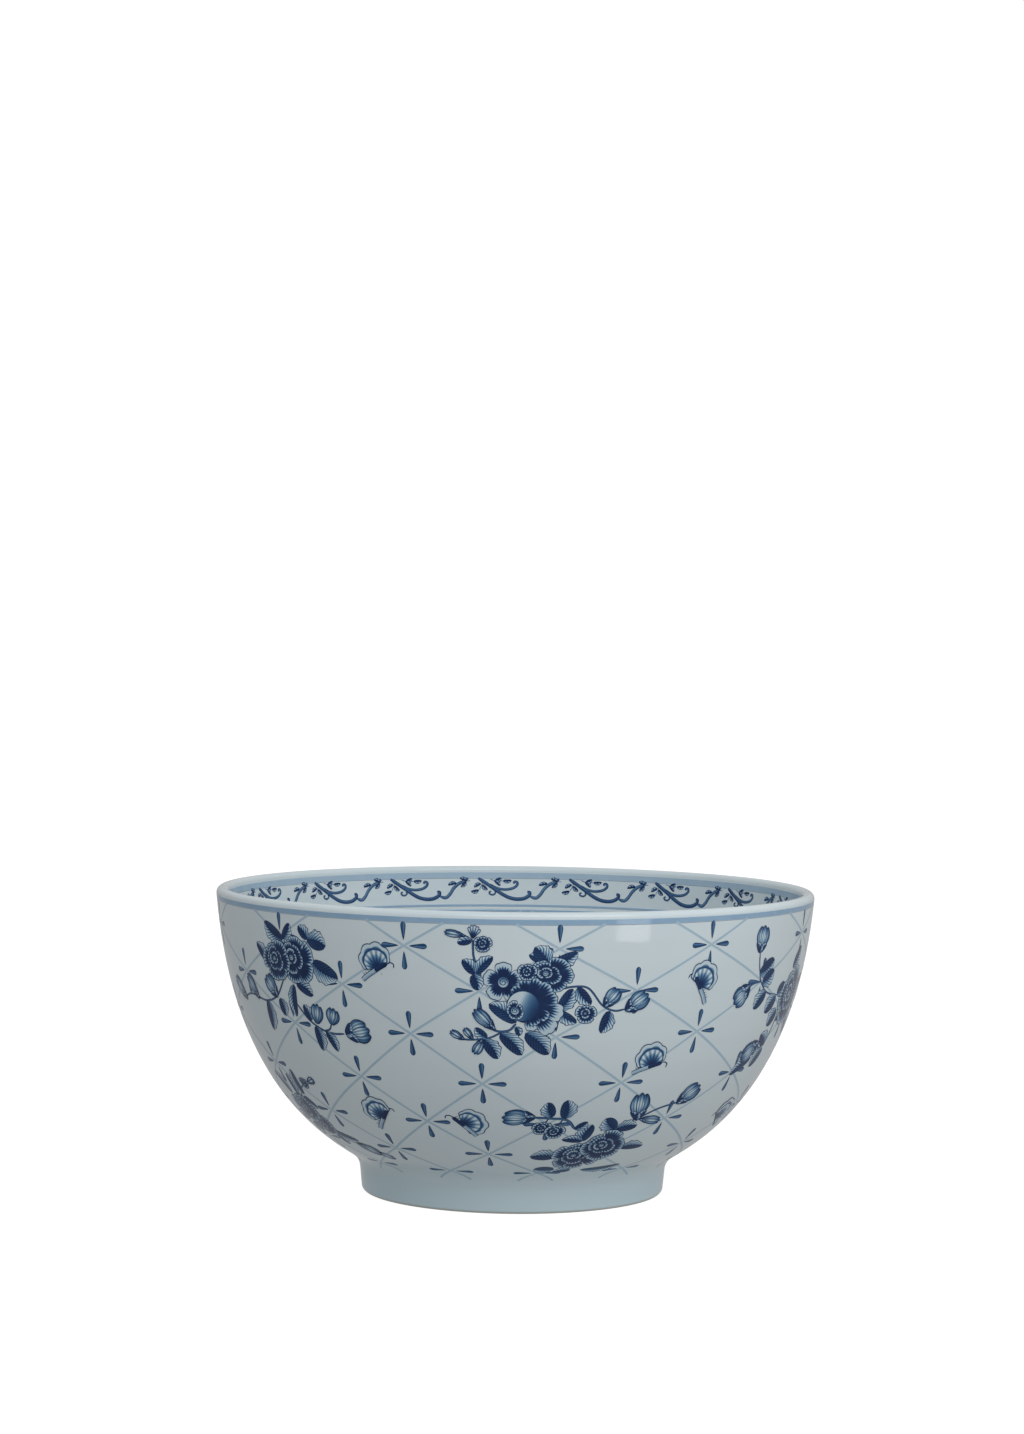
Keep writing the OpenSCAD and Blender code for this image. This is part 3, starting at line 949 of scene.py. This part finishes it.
# ---- The flower sprays ----
SPRAY_ROSES = (
    ("stroke", ([(-19.6, 16.4), (-19, 22.5), (-19.8, 26), (-20.2, 33)], 1.1),
     ([(-20.2, 33), (-22.6, 34.6), (-25, 35.6)], 0.7)),
    ("bud", (-24.6, 35.2, -33, 36.6, 3.8)),
    ("fan", (-20.4, 33.2, -19.2, 40, 8.2)),
    ("leaf", (-20.6, 32.8, -27.4, 31.6, 4.6)),
    ("small_rose", (-15.4, 31.4, 4.1)),
    ("leaf", (-18.9, 17.1, -25, 23.8, 6), (-18.5, 17.1, -10.8, 25.6, 5.8, -1),
     (-19.8, 17, -17.4, 9.3, 6.6, -1), (15.2, 22.2, 8.4, 30.2, 8.6), (16, 22, 28.6, 27.8, 6.6),
     (14.6, 21.8, 5.8, 26.6, 5.4)),
    ("stroke", ([(18.5, 9.7), (26.6, 11.4), (33.9, 10.4), (40.5, 2.2), (46.4, -0.7), (52.3, 0)], 1)),
    ("leaf", (20, 0, 26.4, 10.4, 7.2), (28.4, 11, 35.2, 2.6, 6.4), (19.8, -0.7, 28.4, -6.4, 5.8)),
    ("small_rose", (32.8, -2.1, 5)),
    ("leaf", (44.2, -0.7, 40, -11.8, 6.8, -1)),
    ("bud", (42.2, 2.4, 48.2, 9.4, 7.6), (53.4, 0.2, 62.8, 6.6, 9.4)),
    ("stroke", ([(0.2, -6.8), (-3, -10.2), (-8.6, -10.6), (-13, -7.6)], 1.2)),
    ("bud", (-10.6, -8.8, -18.6, -0.6, 6.6)),
    ("leaf", (0.4, -6.2, -12.4, 2.8, 8.4)),
    ("stroke", ([(-6.1, -11), (-12.2, -14.2), (-20.3, -15.3), (-25.9, -14.9)], 1)),
    ("bud", (-24.3, -14.9, -30, -11.4, 4), (-20, -14.4, -23.6, -9.8, 3.8)),
    ("leaf", (-13, -14.2, -18.8, -9.2, 4.8, -1)),
    ("bud", (-15.4, -15.6, -18.6, -22.2, 5.2)),
    ("leaf", (-14.6, -14.9, -8, -25, 7.2, -1), (-7.1, -11.9, 3.2, -22.8, 8, -1),
     (4.6, -11.5, 15.6, -22.4, 9.4, -1), (9, -12, 14.9, -12.7, 2.2), (0.2, -8.2, 2, -12.9, 3.6, -1)),
    ("small_rose", (5.2, 18.4, 4.4)),
    ("rose", (15.2, 16.6, 11.4, 0, (1, 0.76, 0))),
    ("flower", (-5.9, 13.4, 9.4)),
    ("globe_rose", (3.2, 2, 7.6)),
)
SPRAY_PEONY = (
    ("stroke", ([(-10, -10), (-18, -19), (-29, -22.6), (-41, -20.8), (-49, -21.4), (-55, -23.6)], 1)),
    ("leaf", (-7, 9.5, -21, 17.2, 8.2, -1), (-7, 9.5, -1, 17.8, 6.2)),
    ("stroke", ([(8, 4), (10, 8), (11, 12)], 0.6)),
    ("leaf", (11, 11, 5, 17, 6.4), (10.6, 11, 22, 8.6, 9.6, -1), (-21, -3, -30, 6.4, 6.8),
     (12, 0, 27, -7, 10.5), (-1, -11, 9.6, -16.6, 7, -1), (-3, -12, -5.4, -28.5, 6.2)),
    ("bud", (-18.6, -18.4, -24.6, -10, 9.4), (-54.4, -23.2, -65, -15, 7.6), (-37.6, -21, -45, -11.4, 7)),
    ("leaf", (-28, -22, -29, -38, 7.8, -1), (-16, -20, -14, -29, 6.8, -1)),
    ("stroke", ([(-3, -22), (2, -28), (6.4, -31.4), (12, -34), (18, -35), (24, -34.6)], 1.1),
     ([(12, -34), (15.6, -33), (17.4, -30.4)], 0.9)),
    ("leaf", (4.8, -29.6, 1.6, -21.6, 6)),
    ("bud", (8, -30.8, 10.8, -21.4, 8.2, False), (17.6, -30.4, 21, -22.6, 8.2, False),
     (27, -34.2, 38.4, -31.4, 12.5)),
    ("leaf", (7, -31.8, 7.4, -45, 6.8, -1), (13, -34, 17.2, -44.4, 5.6, -1)),
    ("rose", (-13.5, -1.2, 10.2), (0, 0, 12.4, 20)),
)
SPRAY_EDGE = (
    ("stroke", ([(-11.8, 20), (-10.6, 14), (-9, 9.6), (-6, 4), (2, -2), (15, -4.6)], 0.9)),
    ("bud", (-11.8, 20.4, -10.2, 31, 11)),
    ("leaf", (-8.6, 8.4, 3.4, 14.4, 9.2), (-4.6, 3.2, 5.4, 8.8, 8.6)),
    ("stroke", ([(-6.2, 4.2), (-12, 3.6), (-16, 1.8)], 1.2)),
    ("bud", (-16.6, 1.4, -24.4, -5, 11.5)),
    ("leaf", (1, -1.4, -7.4, -9.6, 8.6), (14, -5, 5, -12.6, 9.4), (14.6, -4, 22, 1, 8),
     (20, -12.6, 12.6, -20.4, 9)),
    ("stroke", ([(20, -8), (22.6, -16), (20.4, -25), (18.6, -31)], 1)),
    ("leaf", (18.6, -31, 9.6, -24.6, 8)),
    ("bud", (8.6, -30, -2.6, -35.4, 11)),
    ("stroke", ([(18.6, -31), (14, -32.4), (10, -30.8)], 0.9)),
    ("leaf", (18.6, -33, 10.6, -42.4, 8.6), (8, -37, -6.8, -45, 7.4), (30, 8, 40, 18, 8),
     (46, -6, 58, 2, 8.4), (42, -18, 52, -28, 8, -1)),
    ("stroke", ([(46, -12), (58, -16), (68, -12)], 1)),
    ("bud", (69, -11.6, 78, -6, 8.6)),
    ("rose", (35, -7, 14.6, 0, (1, 1.05, 0))),
)
SPRAY_LOW = (
    ("stroke", ([(-6, 22), (-11, 28), (-20, 29.4), (-27, 30)], 1.5)),
    ("bud", (-28.4, 30, -41, 30, 10.4)),
    ("leaf", (-18.6, 30, -22, 39.4, 7, -1), (-12, 28.8, -13, 40.6, 8)),
    ("stroke", ([(-20, 29), (-21.4, 26)], 0.9), ([(-13, 28.4), (-15, 24)], 0.9)),
    ("small_rose", (-22, 23, 4.6), (-15.4, 20.4, 4.9)),
    ("leaf", (-1, 12.6, 2.4, 24.6, 8.2, -1), (-6, 21.6, -0.4, 26.6, 5), (0, 13, -10.6, 14.6, 5.4),
     (-10, 0.6, -22.6, 1, 9), (-7.6, -12.4, -17.6, -12, 7.4, -1), (1, -13.6, -7.6, -15, 5.2),
     (6, -14, 27, -10.6, 5.4), (21.6, 6, 34.6, 6.2, 7, -1)),
    ("stroke", ([(12, 16), (15, 21), (20, 24.8), (25, 27), (36, 32.6), (47, 35.4)], 1.1)),
    ("leaf", (14.4, 20.4, 8.4, 28.4, 9, -1), (15.4, 20.8, 26.4, 22.4, 7.6, -1)),
    ("bud", (25, 28, 24.4, 42, 11), (28, 26.4, 38.4, 24.6, 6), (48, 36, 58.6, 44, 10)),
    ("rose", (12, 8, 11.4, 12), (0, 0, 11.6, 40, (1, 1.05, 0))),
)
SPRAY_SIDE = (
    ("leaf", (-6, 9, -15, 21.4, 5.8), (1, 8.6, 0.6, 22, 5.8), (8.6, 10.4, 8.4, 25.4, 6.4, -1)),
    ("stroke", ([(4, 8), (9, 14), (16, 18), (22, 20)], 0.8)),
    ("small_rose", (16, 18.4, 3.4)),
    ("bud", (20.6, 19.6, 26, 21.6, 4.4)),
    ("leaf", (7, 9.4, 14, 2.6, 5.4)),
    ("stroke", ([(6, -6), (12, -15), (20, -20.6), (28, -26)], 1)),
    ("leaf", (10, -13, 25, -18.4, 6.4), (9, -14, 12, -24, 6, -1)),
    ("bud", (22.4, -22, 31.4, -27, 8.2), (30, -27, 37, -30.6, 5.4)),
    ("leaf", (-8, -6, -20, -9, 7), (-6, -10, -14, -19, 6.6, -1)),
    ("rose", (4.6, -9, 8.6, 15), (-1.4, 0.4, 9.8, 40)),
)
SPRAY_CENTRE = (
    ("stroke", ([(-20.7, 25.5), (-27, 32), (-31.8, 38.3), (-35.1, 45.4)], 1.7)),
    ("bud", (-35.8, 46.6, -43.4, 64.6, 15.5)),
    ("small_rose", (-29, 42.4, 3.6)),
    ("leaf", (-29, 34.9, -40.4, 26, 9.4, -1), (1.8, 32.6, -2.6, 51.4, 14.5, -1),
     (8, 31.6, 23.2, 40.6, 10.5), (-16.6, 29, -21.4, 45.4, 9.8, -1)),
    ("stroke", ([(-18, 17.6), (-24, 18.6)], 1)),
    ("small_rose", (-30.2, 18.6, 7.6)),
    ("leaf", (-10.1, -14.4, -11.9, -3.8, 7.6, -1), (-4.4, -4.4, 0.4, -21, 10), (4.4, -3.4, 12, -12, 8.6)),
    ("stroke", ([(-9.6, -12), (-11.6, -22), (-14, -28.4), (-19.5, -33.6), (-27.4, -37.9),
      (-34.4, -39)], 1.5)),
    ("leaf", (-12.7, -24.6, -25, -19.2, 9.6), (-12.3, -25.1, -3.6, -32.2, 8.6),
     (-27, -36.4, -31.4, -22.4, 8.8, -1)),
    ("bud", (-37.6, -39, -53.6, -38, 13.5)),
    ("stroke", ([(-17.3, -31.8), (-17.2, -37), (-15.4, -42)], 1.4)),
    ("bud", (-14.4, -43, -9.4, -55.4, 12.5)),
    ("stroke", ([(12, 11), (17.6, 7), (22.7, 4.9), (31.6, 6), (38, 9.6), (44, 15.6), (48, 21),
      (52.7, 26.4)], 2.4),
     ([(8, -0.2), (13, -0.6), (17.6, 1.2), (22.7, 4.9)], 1.5), ([(31, 6.6), (31.6, 12), (30.2, 17)], 1.1)),
    ("leaf", (30.4, 17.6, 33.2, 32.6, 9.8, -1), (31, 15.8, 40.8, 20.8, 6.4, -1),
     (30.4, 16.8, 20, 8, 9.6, -1)),
    ("stroke", ([(30.5, 4.9), (27.4, 0.4), (26.6, -5.1), (27.4, -11)], 1.3)),
    ("leaf", (28.2, -2.7, 39.8, -9.4, 8.6), (26.2, -4.6, 16.6, -13.2, 8.8)),
    ("bud", (27.4, -12.4, 27.8, -27, 11.5)),
    ("rose", (-4, 14.9, 20.5, 10, (0.96, 1, 40))),
)

# Each spray is printed twice, half a turn apart
OUTSIDE_SPRAYS = (
    ("roses", SPRAY_ROSES, 270.3, 47.9, (1, 1)),
    ("peony", SPRAY_PEONY, 224.8, 29.7, (1, 1)),
    ("edge", SPRAY_EDGE, 326.9, 43.5, (1, 1)),
    ("low", SPRAY_LOW, 287.8, 136.5, (1, 1)),
    ("side", SPRAY_SIDE, 208.8, 114.4, (1, 1)),
)
INSIDE_SPRAYS = (
    ("roses", SPRAY_ROSES, 106.5, 97.5, (-1, -1)),
    ("low", SPRAY_LOW, 197.2, 113, (1, 1)),
    ("peony", SPRAY_PEONY, 144, 47.5, (1, 1)),
    ("high", SPRAY_LOW, 90.8, 46.5, (1, -0.55)),
    ("long", SPRAY_PEONY, 33.5, 49, (-1, 1)),
)
for face_name, sprays, wall in (
    ("outside", OUTSIDE_SPRAYS, outside_wall),
    ("inside", INSIDE_SPRAYS, inside_wall),
):
    for spray, motifs, angle, s, turn in sprays:
        for twin, half_turn in (("a", 0), ("b", 180)):
            piece = Drawing(f"print_{face_name}_{spray}_{twin}", wall(angle + half_turn, s, turn))
            piece.draw(motifs)
            piece.finish()

centre = Drawing("print_floor_spray", floor_plane(FLOOR_TURN))
centre.draw(SPRAY_CENTRE)
centre.finish()

# Butterflies: angle and arc length, then the directions of the wing and of the head
OUTSIDE_BUTTERFLIES = (
    (244.4, 30.4, 106, 32),
    (306.6, 38.6, 62, 122),
    (299.1, 78.4, 104, 18),
    (238.5, 110.6, 124, 55),
    (258.0, 111.8, 16, 130),
    (332.4, 117.6, 70, 140),
)
INSIDE_BUTTERFLIES = (
    (77.4, 87, 100, 25),
    (49.4, 93.6, 60, 130),
    (153.8, 101.5, 110, 30),
    (110.3, 70, 80, 150),
    (123.9, 41, 95, 20),
    (64.7, 43, 60, 140),
    (184.3, 43, 120, 40),
    (188, 66, 70, 150),
)
for face_name, spots, wall in (
    ("outside", OUTSIDE_BUTTERFLIES, outside_wall),
    ("inside", INSIDE_BUTTERFLIES, inside_wall),
):
    flock = Drawing(f"print_butterflies_{face_name}")
    for angle, s, wing, head in spots:
        for half_turn in (0, 180):
            flock.place = wall(angle + half_turn, s)
            flock.butterfly(0, 0, wing, head)
    flock.finish()

# ---- Camera, floor and light ----
CAMERA_AT = (0, -1645, 281)
LENS = 82.15
SENSOR = 36
# How far it looks down and to the left, and how far it is rolled
CAMERA_DOWN = math.radians(1.511)
CAMERA_LEFT = math.radians(0.095)
CAMERA_ROLL = math.radians(0.65)


def make_camera():
    data = bpy.data.cameras.new("camera")
    data.sensor_fit = "AUTO"
    data.sensor_width = SENSOR
    data.lens = LENS
    data.clip_start, data.clip_end = 0.01, 50
    camera = bpy.data.objects.new("camera", data)
    bpy.context.scene.collection.objects.link(camera)
    ahead = Vector((-math.sin(CAMERA_LEFT) * math.cos(CAMERA_DOWN),
                    math.cos(CAMERA_LEFT) * math.cos(CAMERA_DOWN), -math.sin(CAMERA_DOWN)))
    right = ahead.cross(Vector((0, 0, 1))).normalized()
    up = right.cross(ahead)
    c, s = math.cos(CAMERA_ROLL), math.sin(CAMERA_ROLL)
    right, up = right * c + up * s, up * c - right * s
    turn = Matrix((right, up, -ahead)).transposed().to_4x4()
    camera.matrix_world = Matrix.Translation(Vector(CAMERA_AT) * M) @ turn
    bpy.context.scene.camera = camera


def make_stage(name, verts, faces, base, glow):
    """A plain matt surface that only the camera sees, so that it doesn't tint the bowl."""
    material, _, shader = start_material(f"pale_{name}")
    set_inputs(shader, {
        "Base Color": (base, base, base, 1),
        "Roughness": 1,
        "Specular IOR Level": 0,
        "Emission Color": (1, 1, 1, 1),
        "Emission Strength": glow,
    })
    mesh = bpy.data.meshes.new(name)
    mesh.from_pydata(verts, [], faces)
    mesh.materials.append(material)
    stage = bpy.data.objects.new(name, mesh)
    bpy.context.scene.collection.objects.link(stage)
    stage.visible_diffuse = stage.visible_glossy = stage.visible_shadow = False
    return stage


def make_floor():
    """A wide pale floor, and a pale dome behind it, in metres."""
    floor_r, dome_r, sides = 6, 7, 72
    ring = [(math.cos(a), math.sin(a)) for a in np.radians(np.arange(sides) * 360 / sides)]
    verts = [(0, 0, 0)] + [(floor_r * x, floor_r * y, 0) for x, y in ring]
    faces = [(0, k + 1, (k + 1) % sides + 1) for k in range(sides)]
    floor = make_stage("floor", verts, faces, 0.25, 0.93)
    levels = np.radians(np.arange(-5, 90, 5))
    verts = [(dome_r * x * math.cos(e), dome_r * y * math.cos(e), dome_r * math.sin(e))
             for e in levels for x, y in ring]
    faces = [(a + k, a + (k + 1) % sides, a + sides + (k + 1) % sides, a + sides + k)
             for a in range(0, sides * (len(levels) - 1), sides) for k in range(sides)]
    dome = make_stage("backdrop", verts, faces, 0, 1.02)


def make_light(name, at, aim, size, power):
    """A rectangular light. Places and sizes are in metres."""
    data = bpy.data.lights.new(name, "AREA")
    data.shape = "RECTANGLE"
    data.size, data.size_y = size
    data.energy = power
    light = bpy.data.objects.new(name, data)
    bpy.context.scene.collection.objects.link(light)
    light.location = at
    light.rotation_euler = (Vector(aim) - Vector(at)).to_track_quat("-Z", "Y").to_euler()
    light.visible_camera = False


# Brightness of the room from below, 0, to above, 1
SKY = ((0.38, 0.32), (0.5, 0.32), (0.62, 0.39), (0.80, 0.54))
# Broad glows in the room: the direction each comes from, and its level
GLOWS = (((0.60, -0.79, 0.12), 0.345), ((0.20, 0.97, 0.10), 0.11))


def make_room():
    """Soft light from all round: bright above, dimmer below."""
    world = bpy.data.worlds.new("soft_room")
    bpy.context.scene.world = world
    world.use_nodes = True
    world.node_tree.nodes.clear()
    n = Nodes(world.node_tree)
    where = n.add("TexCoord").outputs["Generated"]
    xyz = n.add("SeparateXYZ")
    n.link(where, xyz.inputs[0])
    ramp = n.add("ValToRGB")
    n.link(n.remap(xyz.outputs["Z"], -1.0, 1.0, 0.0, 1.0), ramp.inputs[0])
    stops = ramp.color_ramp.elements
    stops[0].position, stops[0].color = 0.0, (0.31, 0.315, 0.32, 1)
    stops[1].position, stops[1].color = 1.0, (0.42, 0.42, 0.42, 1)
    for position, level in SKY:
        stop = stops.new(position)
        stop.color = (level, level, level * 1.01, 1)
    light = ramp.outputs[0]
    for direction, level in GLOWS:
        toward = n.add("VectorMath", operation="DOT_PRODUCT")
        n.link(where, toward.inputs[0])
        toward.inputs[1].default_value = direction
        facing = n.math("MAXIMUM", toward.outputs["Value"], 0.0)
        glow = n.math("MULTIPLY", n.math("POWER", facing, 1.2), level)
        light = n.mix(1.0, light, n.grey(glow), "ADD")
    back = n.add("Background")
    n.link(light, back.inputs[0])
    back.inputs[1].default_value = 1.0
    out = n.add("OutputWorld")
    n.link(back.outputs[0], out.inputs[0])


make_camera()
make_floor()
make_room()
make_light("soft_overhead", (0.28, -0.95, 1.28), (0, 0, 0.1), (1.4, 0.75), 9.2)
make_light("window_card", (0.342, -0.415, 0.032), (0.054, -0.137, 0.032), (0.11, 0.06), 0.086)
bpy.context.scene.view_settings.view_transform = "Standard"
